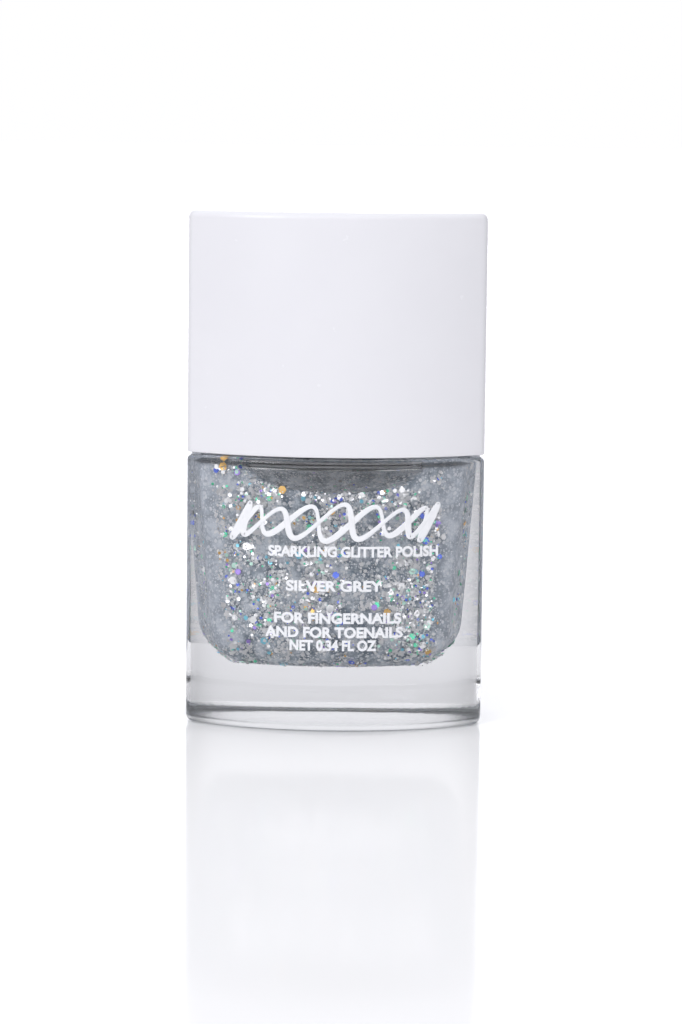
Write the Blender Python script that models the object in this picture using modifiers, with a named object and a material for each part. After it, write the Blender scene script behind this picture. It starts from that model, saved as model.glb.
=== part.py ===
"""Nail polish bottle: a bowed rectangular glass bottle with a screw-on brush cap inside a matching overcap.

Metres, +Z up. The origin is the middle of the base, on the surface that the bottle stands on. The front
faces -Y. The neck, the screw cap, the brush and the overcap share the Z axis, and each of those pieces is
placed on it by the height of its own lower edge.
"""

import math

import bmesh
import bpy

MM = 0.001
GAP = 0.3 * MM  # left between pieces that touch

# Outline shared by the glass and the overcap: straight sides, with the front and back bowed outwards
WIDTH = 36.5 * MM
DEPTH = 24.0 * MM
SIDE = 12.0 * MM  # length of the straight side, from front corner to back corner
CORNER_RADIUS = 1.5 * MM
BOW = (DEPTH - SIDE) / 2
BOW_RADIUS = ((WIDTH / 2) ** 2 + BOW**2) / (2 * BOW)
BOW_STEPS = 7
CORNER_STEPS = 3

# Glass bottle
SHOULDER = 33.3 * MM
HEEL_RADIUS = 1.1 * MM
SHOULDER_EDGE_RADIUS = 0.6 * MM
WALL_FRONT = 2.2 * MM
CAVITY_FLOOR = 6.7 * MM
CAVITY_TOP = 32.5 * MM
CAVITY_WIDTH_LOW = 27.6 * MM
CAVITY_WIDTH_HIGH = 32.0 * MM
CAVITY_SHIFT = -0.5 * MM  # sideways: the moulded glass is a little thicker on the right
CAVITY_CORNER = 2.6 * MM
FLOOR_RADIUS = 5.0 * MM
CEILING_RADIUS = 0.8 * MM
PUNT_HALF_SIZE = (17.0 * MM, 9.0 * MM, 1.6 * MM)
PUNT_CENTRE = -0.9 * MM
THROAT_RADIUS = 4.6 * MM  # where the cavity opens into the neck
THROAT_LOW = CAVITY_TOP + 0.2 * MM
THROAT_HIGH = SHOULDER + 0.4 * MM

# Neck finish, 13 mm, 12 threads to the inch
NECK_RADIUS = 5.7 * MM
BORE_RADIUS = 3.4 * MM
NECK_ROOT_RADIUS = 0.8 * MM
RIM = SHOULDER + 11.3 * MM
RIM_ROUNDING = 0.5 * MM
NECK_OVERLAP = 1.0 * MM  # how far the neck's shape reaches down into the body that it is joined to
THREAD_PITCH = 25.4 * MM / 12
THREAD_TURNS = 1.5
THREAD_HEIGHT = 0.75 * MM
THREAD_BASE = 1.5 * MM
THREAD_CREST = 0.7 * MM
THREAD_ROOT_OVERLAP = 0.3 * MM
THREAD_STEPS = 30  # to a turn
GLASS_THREAD_START = SHOULDER + 4.4 * MM

# Sealing liner, on the rim
LINER_THICKNESS = 1.0 * MM
LINER_RADIUS = 5.6 * MM
LINER_HOLE_RADIUS = 3.7 * MM
LINER_BASE = RIM + GAP

# Brush
FLANGE_BASE = LINER_BASE + LINER_THICKNESS + GAP
FLANGE_THICKNESS = 1.1 * MM
FLANGE_RADIUS = 5.9 * MM
PLUG_RADIUS = 2.2 * MM
PLUG_HEIGHT = 2.5 * MM
PLUG_BEAD = 0.1 * MM  # how far the bead that snaps in stands proud
PLUG_BEAD_LENGTH = 0.4 * MM
PLUG_RAMP = 0.4 * MM  # the slopes on both sides of the bead
PLUG_LEAD_IN = 0.7 * MM
PLUG_WAIST_RADIUS = 2.0 * MM
STEM_ROOT_RADIUS = 3.0 * MM
STEM_ROOT_LENGTH = 1.2 * MM
STEM_TOP_RADIUS = 2.4 * MM
STEM_TAPER = (4.5 * MM, 7.0 * MM)  # from and to, below the flange
STEM_RADIUS = 2.0 * MM
STEM_TIP_CHAMFER = (0.2 * MM, 0.4 * MM)
STEM_TIP = 21.0 * MM
STEM_HOLE_RADIUS = 1.5 * MM
STEM_HOLE_DEPTH = 5.2 * MM
TUFT_TIP = 8.5 * MM
TUFT_ROOT_RADIUS = 1.2 * MM
TUFT_RADIUS = 1.6 * MM
TUFT_SHAPE = ((0.94, 0.7), (1.0, 0.42), (0.92, 0.2), (0.7, 0.08), (0.35, 0.015), (0.0, 0.0))  # shares, down
STAPLE_SIZE = (2.3 * MM, 0.3 * MM, 1.2 * MM)
STAPLE_HEIGHT = STEM_TIP + 3.6 * MM  # of its middle

# Inner cap
CAP_BASE = SHOULDER + 0.6 * MM
CAP_BORE_RADIUS = 6.95 * MM
CAP_CEILING = FLANGE_BASE + FLANGE_THICKNESS + GAP
CAP_TOP = CAP_CEILING + 1.8 * MM
CAP_RIB_RADIUS = 8.0 * MM
CAP_VALLEY_RADIUS = 7.45 * MM
CAP_RIBS = 14
CAP_BOSS_RADIUS = 4.0 * MM
CAP_BOSS_TOP = CAP_CEILING + 3.9 * MM
CAP_BOSS_CHAMFER = 0.4 * MM
CAP_THREAD_CREST_RADIUS = NECK_RADIUS + THREAD_HEIGHT + 0.15 * MM
CAP_THREAD_START = CAP_BASE + 1.6 * MM

# Overcap
OVERCAP_BASE = SHOULDER + GAP
OVERCAP_TOP = 63.2 * MM
SHELL_WALL = 1.6 * MM
SHELL_TOP_WALL = 1.8 * MM
SHELL_EDGE_RADIUS = 0.9 * MM
SHELL_MOUTH_RADIUS = 0.2 * MM
INSERT_RECESS = 0.9 * MM
INSERT_PLATE = 1.0 * MM
SOCKET_OUTER_RADIUS = 9.05 * MM
SOCKET_TOP = 50.6 * MM
WEB_THICKNESS = 1.0 * MM
WEB_TOP = 46.0 * MM
WEB_OVERLAP = 0.5 * MM  # into the socket's wall

# Lacquer and its mixing balls
BUBBLE_HALF_SIZE = (10.8 * MM, 6.7 * MM, 4.0 * MM)
BUBBLE_CENTRE = (0.0, -9.6 * MM, CAVITY_TOP)
BALL_RADIUS = 2.0 * MM
BALL_SEGMENTS = 16
BALL_PLACES = {"mixing_ball_a": (-6.0 * MM, 1.4 * MM), "mixing_ball_b": (5.2 * MM, -1.8 * MM)}

SMALLEST_CORNER = 0.4 * MM
ROUND_STEPS = 32
BEVEL_SEGMENTS = 3
SMOOTH_ANGLE = math.radians(35)
MERGE = 0.00001
CUT_MARGIN = 1.0 * MM  # how far a cutter runs past the face that it opens


def clear_scene():
    for thing in list(bpy.data.objects):
        bpy.data.objects.remove(thing, do_unlink=True)


def new_collection(name):
    collection = bpy.data.collections.new(name)
    bpy.context.scene.collection.children.link(collection)
    return collection


def plain_material(name, colour, roughness, metallic=0.0, transmission=0.0):
    material = bpy.data.materials.new(name)
    material.use_nodes = True
    shader = material.node_tree.nodes["Principled BSDF"]
    shader.inputs["Base Color"].default_value = (*colour, 1.0)
    shader.inputs["Roughness"].default_value = roughness
    shader.inputs["Metallic"].default_value = metallic
    shader.inputs["Transmission Weight"].default_value = transmission
    return material


# Outlines: lists of (x, y), anticlockwise


def bowed_outline(half_width, half_depth, bow_radius, corner_radius):
    """A rectangle whose front and back bow outwards on an arc, with rounded corners."""
    bow_centre = bow_radius - half_depth
    corner_x = half_width - corner_radius
    corner_y = bow_centre - math.sqrt((bow_radius - corner_radius) ** 2 - corner_x**2)
    tangent = math.atan2(corner_x, bow_centre - corner_y)
    quarter = []
    for step in range(BOW_STEPS):
        angle = tangent * step / BOW_STEPS
        quarter.append((bow_radius * math.sin(angle), bow_centre - bow_radius * math.cos(angle)))
    for step in range(CORNER_STEPS + 1):
        angle = tangent + (math.pi / 2 - tangent) * step / CORNER_STEPS
        x = corner_x + corner_radius * math.sin(angle)
        y = corner_y - corner_radius * math.cos(angle)
        quarter.append((x, y))
    right = quarter + [(x, -y) for x, y in reversed(quarter)]
    left = [(-x, y) for x, y in reversed(right[1:-1])]
    return right + left


def body_outline(inset=0.0):
    """The outline of the glass and the overcap, pulled in all round by inset."""
    corner = max(CORNER_RADIUS - inset, SMALLEST_CORNER)
    return bowed_outline(WIDTH / 2 - inset, DEPTH / 2 - inset, BOW_RADIUS - inset, corner)


def ribbed_outline(valley_radius, rib_radius, ribs):
    """A circle with straight-sided ribs as wide as the valleys between them."""
    valley = ((0.04, valley_radius), (0.46, valley_radius))
    rib_top = ((0.54, rib_radius), (0.96, rib_radius))
    outline = []
    for rib in range(ribs):
        for part, radius in valley + rib_top:
            angle = 2 * math.pi * (rib + part) / ribs
            outline.append((radius * math.cos(angle), radius * math.sin(angle)))
    return outline


# Shapes


def add_object(name, mesh, height=0.0):
    shape = bpy.data.objects.new(name, mesh)
    shape.location = (0.0, 0.0, height)
    PARTS.objects.link(shape)
    return shape


def loft(name, rings):
    """A closed solid through rings of points, each with as many points, with a flat face at each end."""
    form = bmesh.new()
    levels = [[form.verts.new(point) for point in ring] for ring in rings]
    count = len(rings[0])
    for lower, upper in zip(levels, levels[1:]):
        for i in range(count):
            j = (i + 1) % count
            form.faces.new((lower[i], lower[j], upper[j], upper[i]))
    form.faces.new(levels[0])
    form.faces.new(levels[-1])
    bmesh.ops.recalc_face_normals(form, faces=form.faces)
    mesh = bpy.data.meshes.new(name)
    form.to_mesh(mesh)
    form.free()
    return add_object(name, mesh)


def extruded(name, outline, low, high, height=0.0):
    """A flat outline made into a slab between two heights."""
    curve = bpy.data.curves.new(name, "CURVE")
    curve.dimensions = "2D"
    curve.fill_mode = "BOTH"
    curve.extrude = (high - low) / 2
    spline = curve.splines.new("POLY")
    spline.points.add(len(outline) - 1)
    for point, (x, y) in zip(spline.points, outline):
        point.co = (x, y, 0.0, 1.0)
    spline.use_cyclic_u = True
    guide = bpy.data.objects.new(name, curve)
    guide.location = (0.0, 0.0, height + (low + high) / 2)
    PARTS.objects.link(guide)
    bpy.context.view_layer.update()
    evaluated = guide.evaluated_get(bpy.context.evaluated_depsgraph_get())
    mesh = bpy.data.meshes.new_from_object(evaluated)
    place = guide.matrix_world.copy()
    bpy.data.objects.remove(guide)
    bpy.data.curves.remove(curve)
    form = bmesh.new()
    form.from_mesh(mesh)
    bmesh.ops.remove_doubles(form, verts=form.verts, dist=MERGE)
    bmesh.ops.dissolve_limit(form, angle_limit=math.radians(1), verts=form.verts, edges=form.edges)
    bmesh.ops.recalc_face_normals(form, faces=form.faces)
    form.to_mesh(mesh)
    form.free()
    slab = add_object(name, mesh)
    slab.matrix_world = place
    return slab


def turned(name, profile, height=0.0, closed=False):
    """A profile of (radius, z), down its outer side, turned about the Z axis."""
    mesh = bpy.data.meshes.new(name)
    edges = [(i, i + 1) for i in range(len(profile) - 1)]
    if closed:
        edges.append((len(profile) - 1, 0))
    mesh.from_pydata([(radius, 0.0, z) for radius, z in profile], edges, [])
    shape = add_object(name, mesh, height)
    screw = shape.modifiers.new("turn", "SCREW")
    screw.steps = ROUND_STEPS
    screw.render_steps = ROUND_STEPS
    screw.use_merge_vertices = True
    screw.merge_threshold = MERGE
    screw.use_smooth_shade = True
    return shape


def ellipsoid(name, half_size, centre, segments=24):
    form = bmesh.new()
    bmesh.ops.create_uvsphere(form, u_segments=segments, v_segments=segments // 2, radius=1.0)
    for vert in form.verts:
        for axis in range(3):
            vert.co[axis] *= half_size[axis]
    mesh = bpy.data.meshes.new(name)
    form.to_mesh(mesh)
    form.free()
    shape = add_object(name, mesh)
    shape.location = centre
    return shape


def box(name, size, centre):
    form = bmesh.new()
    bmesh.ops.create_cube(form, size=1.0)
    for vert in form.verts:
        for axis in range(3):
            vert.co[axis] *= size[axis]
    mesh = bpy.data.meshes.new(name)
    form.to_mesh(mesh)
    form.free()
    shape = add_object(name, mesh)
    shape.location = centre
    return shape


def helix(name, inner, crest, start, turns):
    """A thread ridge from its root to its crest radius, which may be the smaller. It fades at both ends."""
    rings = []
    steps = round(turns * THREAD_STEPS)
    fade = THREAD_STEPS // 6
    for step in range(steps + 1):
        strength = min(1.0, (step + 0.6) / fade, (steps - step + 0.6) / fade)
        angle = 2 * math.pi * step / THREAD_STEPS
        middle = start + THREAD_PITCH * step / THREAD_STEPS
        tip = inner + (crest - inner) * (0.45 + 0.55 * strength)
        section = [(inner, -THREAD_BASE), (tip, -THREAD_CREST), (tip, THREAD_CREST), (inner, THREAD_BASE)]
        ring = []
        for radius, rise in section:
            ring.append((radius * math.cos(angle), radius * math.sin(angle), middle + rise / 2))
        rings.append(ring)
    return loft(name, rings)


def combine(target, operation, other):
    """Cuts another shape from the target, or joins it on. The other shape stays as a hidden guide."""
    modifier = target.modifiers.new(f"{operation.lower()}_{other.name}", "BOOLEAN")
    modifier.operation = operation
    modifier.object = other
    other.hide_render = True
    other.display_type = "WIRE"
    PARTS.objects.unlink(other)
    CUTTERS.objects.link(other)


def round_edges(shape, low_radius, high_radius):
    """Rounds the edges round a slab's lower and upper face, each with its own radius."""
    mesh = shape.data
    widest = max(low_radius, high_radius)
    weights = mesh.attributes.new("bevel_weight_edge", "FLOAT", "EDGE")
    for edge in mesh.edges:
        low_end, high_end = sorted(mesh.vertices[i].co.z for i in edge.vertices)
        if high_end < 0.0:
            weights.data[edge.index].value = low_radius / widest
        elif low_end > 0.0:
            weights.data[edge.index].value = high_radius / widest
    bevel = shape.modifiers.new("rounded_edges", "BEVEL")
    bevel.width = widest
    bevel.segments = BEVEL_SEGMENTS
    bevel.limit_method = "WEIGHT"
    bevel.use_clamp_overlap = False


def finish(shape, material, parent):
    """Gives a piece its material, its shading and the empty that it hangs from."""
    shape.data.materials.append(material)
    shape.data.shade_smooth()
    shape.data.set_sharp_from_angle(angle=SMOOTH_ANGLE)
    bpy.context.view_layer.update()
    place = shape.matrix_world.copy()
    shape.parent = parent
    shape.matrix_parent_inverse = parent.matrix_world.inverted()
    shape.matrix_world = place
    return shape


def axis_empty(name, height):
    """A point on the Z axis that the pieces of one moving body hang from."""
    empty = bpy.data.objects.new(name, None)
    empty.location = (0.0, 0.0, height)
    PARTS.objects.link(empty)
    bpy.context.view_layer.update()
    return empty


# The bottle's inside, which the cavity and the lacquer share


def cavity_ring(height, inset):
    """The cavity's outline at a height, pulled in all round by inset. The cavity widens upwards."""
    share = (height - CAVITY_FLOOR) / (CAVITY_TOP - CAVITY_FLOOR)
    half_width = (CAVITY_WIDTH_LOW + (CAVITY_WIDTH_HIGH - CAVITY_WIDTH_LOW) * share) / 2 - inset
    corner = max(CAVITY_CORNER - inset, SMALLEST_CORNER)
    wall = WALL_FRONT + inset
    outline = bowed_outline(half_width, DEPTH / 2 - wall, BOW_RADIUS - wall, corner)
    return [(x + CAVITY_SHIFT, y, height) for x, y in outline]


def cavity_rings(gap):
    """Rings from the rounded floor to the rounded ceiling, a gap inside the glass."""
    rings = []
    floor_steps = 5
    for step in range(floor_steps + 1):
        angle = math.pi / 2 * step / floor_steps
        rise = (FLOOR_RADIUS - gap) * (1 - math.cos(angle))
        inset = (FLOOR_RADIUS - gap) * (1 - math.sin(angle))
        rings.append(cavity_ring(CAVITY_FLOOR + gap + rise, gap + inset))
    ceiling_steps = 3
    for step in range(ceiling_steps + 1):
        angle = math.pi / 2 * step / ceiling_steps
        drop = (CEILING_RADIUS - gap) * (1 - math.sin(angle))
        inset = (CEILING_RADIUS - gap) * (1 - math.cos(angle))
        rings.append(cavity_ring(CAVITY_TOP - gap - drop, gap + inset))
    return rings


def round_ring(ring, radius, height):
    """A circle whose points lie in the same directions as the ring's."""
    points = []
    for x, y, _ in ring:
        angle = math.atan2(y, x)
        points.append((radius * math.cos(angle), radius * math.sin(angle), height))
    return points


# The pieces


def make_bottle(material, parent):
    bottle = extruded("glass_bottle", body_outline(), 0.0, SHOULDER)
    round_edges(bottle, HEEL_RADIUS, SHOULDER_EDGE_RADIUS)
    neck_profile = [
        (0.0, RIM),
        (NECK_RADIUS - RIM_ROUNDING, RIM),
        (NECK_RADIUS - RIM_ROUNDING * 0.3, RIM - RIM_ROUNDING * 0.3),
        (NECK_RADIUS, RIM - RIM_ROUNDING),
        (NECK_RADIUS, SHOULDER + NECK_ROOT_RADIUS),
        (NECK_RADIUS + NECK_ROOT_RADIUS * 0.3, SHOULDER + NECK_ROOT_RADIUS * 0.3),
        (NECK_RADIUS + NECK_ROOT_RADIUS, SHOULDER),
        (NECK_RADIUS + NECK_ROOT_RADIUS, SHOULDER - NECK_OVERLAP),
        (0.0, SHOULDER - NECK_OVERLAP),
    ]
    combine(bottle, "UNION", turned("neck", neck_profile))
    thread_root = NECK_RADIUS - THREAD_ROOT_OVERLAP
    thread_crest = NECK_RADIUS + THREAD_HEIGHT
    glass_thread = helix("neck_thread", thread_root, thread_crest, GLASS_THREAD_START, THREAD_TURNS)
    combine(bottle, "UNION", glass_thread)
    rings = cavity_rings(0.0)
    bore = ((THROAT_RADIUS, THROAT_LOW), (BORE_RADIUS, THROAT_HIGH), (BORE_RADIUS, RIM + CUT_MARGIN))
    rings += [round_ring(rings[0], radius, height) for radius, height in bore]
    combine(bottle, "DIFFERENCE", loft("cavity", rings))
    combine(bottle, "DIFFERENCE", ellipsoid("punt", PUNT_HALF_SIZE, (0.0, 0.0, PUNT_CENTRE)))
    return finish(bottle, material, parent)


def make_lacquer(material, parent):
    """The liquid, with an air bubble against the front wall and a clear way for the brush."""
    lacquer = loft("lacquer_fill", cavity_rings(GAP))
    combine(lacquer, "DIFFERENCE", ellipsoid("air_bubble", BUBBLE_HALF_SIZE, BUBBLE_CENTRE))
    way_radius = STEM_RADIUS + GAP
    way = turned(
        "brush_way",
        [(0.0, SHOULDER), (way_radius, SHOULDER), (way_radius, TUFT_TIP - GAP), (0.0, TUFT_TIP - GAP)],
    )
    combine(lacquer, "DIFFERENCE", way)
    for name, (x, y) in BALL_PLACES.items():
        pocket_radius = BALL_RADIUS + GAP
        pocket = ellipsoid(f"{name}_pocket", (pocket_radius,) * 3, (x, y, ball_height()), BALL_SEGMENTS)
        combine(lacquer, "DIFFERENCE", pocket)
    return finish(lacquer, material, parent)


def ball_height():
    return CAVITY_FLOOR + GAP + BALL_RADIUS


def make_balls(material, parent):
    for name, (x, y) in BALL_PLACES.items():
        ball = ellipsoid(name, (BALL_RADIUS,) * 3, (x, y, ball_height()), BALL_SEGMENTS)
        finish(ball, material, parent)


def make_liner(material, parent):
    profile = [
        (LINER_RADIUS, LINER_THICKNESS),
        (LINER_RADIUS, 0.0),
        (LINER_HOLE_RADIUS, 0.0),
        (LINER_HOLE_RADIUS, LINER_THICKNESS),
    ]
    return finish(turned("sealing_liner", profile, LINER_BASE, closed=True), material, parent)


def make_stem(material, parent):
    """The stem, with the plug that snaps into the inner cap on top and a blind hole for the tuft below."""
    top = FLANGE_THICKNESS + PLUG_HEIGHT
    bead_top = top - PLUG_LEAD_IN
    bead_base = bead_top - PLUG_BEAD_LENGTH
    tip = STEM_TIP - FLANGE_BASE
    profile = [
        (0.0, top),
        (PLUG_RADIUS - PLUG_RAMP, top),
        (PLUG_RADIUS + PLUG_BEAD, bead_top),
        (PLUG_RADIUS + PLUG_BEAD, bead_base),
        (PLUG_WAIST_RADIUS, bead_base - PLUG_RAMP),
        (PLUG_WAIST_RADIUS, FLANGE_THICKNESS),
        (FLANGE_RADIUS, FLANGE_THICKNESS),
        (FLANGE_RADIUS, 0.0),
        (STEM_ROOT_RADIUS, 0.0),
        (STEM_TOP_RADIUS, -STEM_ROOT_LENGTH),
        (STEM_TOP_RADIUS, -STEM_TAPER[0]),
        (STEM_RADIUS, -STEM_TAPER[1]),
        (STEM_RADIUS, tip + STEM_TIP_CHAMFER[1]),
        (STEM_RADIUS - STEM_TIP_CHAMFER[0], tip),
        (STEM_HOLE_RADIUS, tip),
        (STEM_HOLE_RADIUS, tip + STEM_HOLE_DEPTH),
        (0.0, tip + STEM_HOLE_DEPTH),
    ]
    return finish(turned("brush_stem", profile, FLANGE_BASE), material, parent)


def make_staple(material, parent):
    staple = box("brush_staple", STAPLE_SIZE, (0.0, 0.0, STAPLE_HEIGHT))
    return finish(staple, material, parent)


def make_tuft(material, parent):
    """The filaments as one solid: folded round the staple inside the stem, fanned and domed below it."""
    root_top = STAPLE_HEIGHT + STAPLE_SIZE[2] / 2
    length = STEM_TIP - TUFT_TIP
    root = [(0.0, root_top - TUFT_TIP), (TUFT_ROOT_RADIUS, root_top - TUFT_TIP), (TUFT_ROOT_RADIUS, length)]
    fan = [(TUFT_RADIUS * width, length * height) for width, height in TUFT_SHAPE]
    tuft = turned("brush_tuft", root + fan, TUFT_TIP)
    slot_height = STAPLE_SIZE[2] + 2 * GAP + CUT_MARGIN
    slot_size = (4 * TUFT_ROOT_RADIUS, STAPLE_SIZE[1] + 2 * GAP, slot_height)
    slot_middle = STAPLE_HEIGHT - STAPLE_SIZE[2] / 2 - GAP + slot_height / 2
    combine(tuft, "DIFFERENCE", box("staple_slot", slot_size, (0.0, 0.0, slot_middle)))
    return finish(tuft, material, parent)


def make_inner_cap(material, parent):
    """A ribbed skirt with an inside thread, a ceiling, and a boss that holds the stem's plug."""
    outline = ribbed_outline(CAP_VALLEY_RADIUS, CAP_RIB_RADIUS, CAP_RIBS)
    cap = extruded("inner_cap", outline, 0.0, CAP_TOP - CAP_BASE, CAP_BASE)
    boss_profile = [
        (0.0, CAP_BOSS_TOP),
        (CAP_BOSS_RADIUS - CAP_BOSS_CHAMFER, CAP_BOSS_TOP),
        (CAP_BOSS_RADIUS, CAP_BOSS_TOP - CAP_BOSS_CHAMFER),
        (CAP_BOSS_RADIUS, CAP_TOP - CAP_BOSS_CHAMFER),
        (0.0, CAP_TOP - CAP_BOSS_CHAMFER),
    ]
    combine(cap, "UNION", turned("boss", boss_profile))
    plug_hole = PLUG_RADIUS + PLUG_BEAD + GAP
    plug_top = FLANGE_BASE + FLANGE_THICKNESS + PLUG_HEIGHT + GAP
    bore_profile = [
        (0.0, plug_top),
        (plug_hole, plug_top),
        (plug_hole, CAP_CEILING),
        (CAP_BORE_RADIUS, CAP_CEILING),
        (CAP_BORE_RADIUS, CAP_BASE - CUT_MARGIN),
        (0.0, CAP_BASE - CUT_MARGIN),
    ]
    combine(cap, "DIFFERENCE", turned("cap_bore", bore_profile))
    thread_root = CAP_BORE_RADIUS + THREAD_ROOT_OVERLAP
    inner_thread = helix("cap_thread", thread_root, CAP_THREAD_CREST_RADIUS, CAP_THREAD_START, THREAD_TURNS)
    combine(cap, "UNION", inner_thread)
    return finish(cap, material, parent)


def make_shell(material, parent):
    shell = extruded("overcap_shell", body_outline(), 0.0, OVERCAP_TOP - OVERCAP_BASE, OVERCAP_BASE)
    round_edges(shell, SHELL_MOUTH_RADIUS, SHELL_EDGE_RADIUS)
    ceiling = OVERCAP_TOP - SHELL_TOP_WALL
    hollow = extruded("shell_hollow", body_outline(SHELL_WALL), OVERCAP_BASE - CUT_MARGIN, ceiling)
    combine(shell, "DIFFERENCE", hollow)
    return finish(shell, material, parent)


def make_insert(material, parent):
    """Closes the shell's mouth and holds it on the inner cap: a plate, a splined socket, two webs."""
    base = OVERCAP_BASE + INSERT_RECESS
    insert = extruded("overcap_insert", body_outline(SHELL_WALL + GAP), 0.0, INSERT_PLATE, base)
    root = base + INSERT_PLATE / 2
    socket_profile = [
        (0.0, SOCKET_TOP),
        (SOCKET_OUTER_RADIUS, SOCKET_TOP),
        (SOCKET_OUTER_RADIUS, root),
        (0.0, root),
    ]
    combine(insert, "UNION", turned("socket", socket_profile))
    web_reach = WIDTH / 2 - SHELL_WALL - 2 * GAP
    web_length = web_reach - SOCKET_OUTER_RADIUS + WEB_OVERLAP
    for side, word in ((-1, "left"), (1, "right")):
        size = (web_length, WEB_THICKNESS, WEB_TOP - root)
        centre = (side * (web_reach - web_length / 2), 0.0, (WEB_TOP + root) / 2)
        combine(insert, "UNION", box(f"{word}_web", size, centre))
    splines = ribbed_outline(CAP_VALLEY_RADIUS + GAP, CAP_RIB_RADIUS + GAP, CAP_RIBS)
    splined_hole = extruded("splined_hole", splines, base - CUT_MARGIN, SOCKET_TOP + CUT_MARGIN)
    combine(insert, "DIFFERENCE", splined_hole)
    return finish(insert, material, parent)


clear_scene()
PARTS = new_collection("nail_polish_bottle")
CUTTERS = new_collection("cutters")

glass = plain_material("clear_glass", (0.93, 0.95, 0.96), 0.02, transmission=1.0)
lacquer = plain_material("glitter_lacquer", (0.42, 0.46, 0.50), 0.15)
steel = plain_material("steel", (0.62, 0.62, 0.60), 0.2, metallic=1.0)
foam = plain_material("liner_foam", (0.86, 0.86, 0.83), 0.8)
stem_plastic = plain_material("stem_plastic", (0.92, 0.92, 0.92), 0.45)
nylon = plain_material("nylon", (0.06, 0.06, 0.07), 0.4)
cap_plastic = plain_material("cap_plastic", (0.80, 0.80, 0.81), 0.5)
white_gloss = plain_material("white_gloss", (0.90, 0.90, 0.93), 0.18)

bottle_base = axis_empty("bottle_base", 0.0)
liner_seat = axis_empty("liner_seat", LINER_BASE)
brush_axis = axis_empty("brush_axis", FLANGE_BASE)
cap_axis = axis_empty("cap_axis", CAP_BASE)
overcap_axis = axis_empty("overcap_axis", OVERCAP_BASE)

make_bottle(glass, bottle_base)
make_lacquer(lacquer, bottle_base)
make_balls(steel, bottle_base)
make_liner(foam, liner_seat)
make_stem(stem_plastic, brush_axis)
make_staple(steel, brush_axis)
make_tuft(nylon, brush_axis)
make_inner_cap(cap_plastic, cap_axis)
make_shell(white_gloss, overcap_axis)
make_insert(cap_plastic, overcap_axis)
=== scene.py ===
"""Looks of the nail polish bottle: clear glass, glitter lacquer, white overcap, brush and caps.

Every size is in metres and comes from the CAD frame or from the named values below. Most pieces are one
closed surface, made as rings of points from one end of its section to the other. Glitter is loose flakes.
"""
import math

import bmesh
import bpy
import numpy as np
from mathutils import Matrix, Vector


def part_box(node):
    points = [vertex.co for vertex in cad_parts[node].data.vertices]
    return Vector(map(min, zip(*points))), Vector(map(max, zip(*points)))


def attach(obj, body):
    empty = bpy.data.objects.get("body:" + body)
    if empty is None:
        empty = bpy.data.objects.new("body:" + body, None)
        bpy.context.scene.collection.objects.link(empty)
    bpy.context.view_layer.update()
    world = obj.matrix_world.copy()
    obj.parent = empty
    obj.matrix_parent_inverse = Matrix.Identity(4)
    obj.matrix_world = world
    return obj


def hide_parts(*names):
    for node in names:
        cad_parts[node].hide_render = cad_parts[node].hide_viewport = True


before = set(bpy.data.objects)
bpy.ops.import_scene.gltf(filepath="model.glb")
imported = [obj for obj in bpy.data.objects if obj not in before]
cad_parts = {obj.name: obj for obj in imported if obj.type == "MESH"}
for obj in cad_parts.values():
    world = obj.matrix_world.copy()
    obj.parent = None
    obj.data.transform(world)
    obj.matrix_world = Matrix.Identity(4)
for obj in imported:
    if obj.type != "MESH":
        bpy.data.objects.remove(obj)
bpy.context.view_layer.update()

MM = 0.001
GAP = 0.3 * MM

glass_low, glass_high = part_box("glass_bottle")
shell_low, shell_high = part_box("overcap_shell")
cap_low, cap_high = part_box("inner_cap")
liner_low, liner_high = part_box("sealing_liner")
stem_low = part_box("brush_stem")[0]
tuft_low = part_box("brush_tuft")[0]

# Outline shared by the glass and the overcap
WIDTH = glass_high.x - glass_low.x
DEPTH = glass_high.y - glass_low.y
SIDE = DEPTH / 2
CORNER_RADIUS = 1.5 * MM
BOW = (DEPTH - SIDE) / 2
BOW_RADIUS = ((WIDTH / 2) ** 2 + BOW**2) / (2 * BOW)
BOW_STEPS = 24
CORNER_STEPS = 6
SIDE_STEPS = 3
RING_POINTS = 4 * (BOW_STEPS + CORNER_STEPS + SIDE_STEPS)

# Glass
SHOULDER = shell_low.z - GAP
RIM = glass_high.z
HEEL_RADIUS = 1.1 * MM
SHOULDER_EDGE_RADIUS = 0.6 * MM
PUNT_DEPTH = 0.7 * MM
PUNT_REACH = 0.83  # of the foot's outline
PUNT_POWER = 0.8
FOOT_GRAIN = 1.6  # height of the grain at the foot, as a share of the waves
FOOT_GRAIN_EDGES = (0.7 * MM, 2.4 * MM)  # heights between which the grain fades
FOOT_FROST = 0.16  # roughness for each unit of that grain
GLASS_COLOUR = (0.975, 0.978, 0.985)
GLASS_IOR = 1.52
NECK_RADIUS = 5.7 * MM
NECK_ROOT_RADIUS = 0.8 * MM
BORE_RADIUS = 3.4 * MM
RIM_ROUNDING = 0.5 * MM
BORE_ROUNDING = 0.25 * MM
BORE_RING_HEIGHTS = (RIM - 1.0 * MM, SHOULDER + 4.0 * MM, SHOULDER + 1.4 * MM)
THROAT_TOP = SHOULDER + 0.9 * MM
THROAT_RADIUS = 5.6 * MM  # where the cavity's ceiling opens into the neck
THREAD_PITCH = 25.4 * MM / 12
THREAD_TURNS = 1.5
THREAD_HEIGHT = 0.75 * MM
THREAD_START = SHOULDER + 4.4 * MM
THREAD_FADE = math.radians(35)  # at each end

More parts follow.
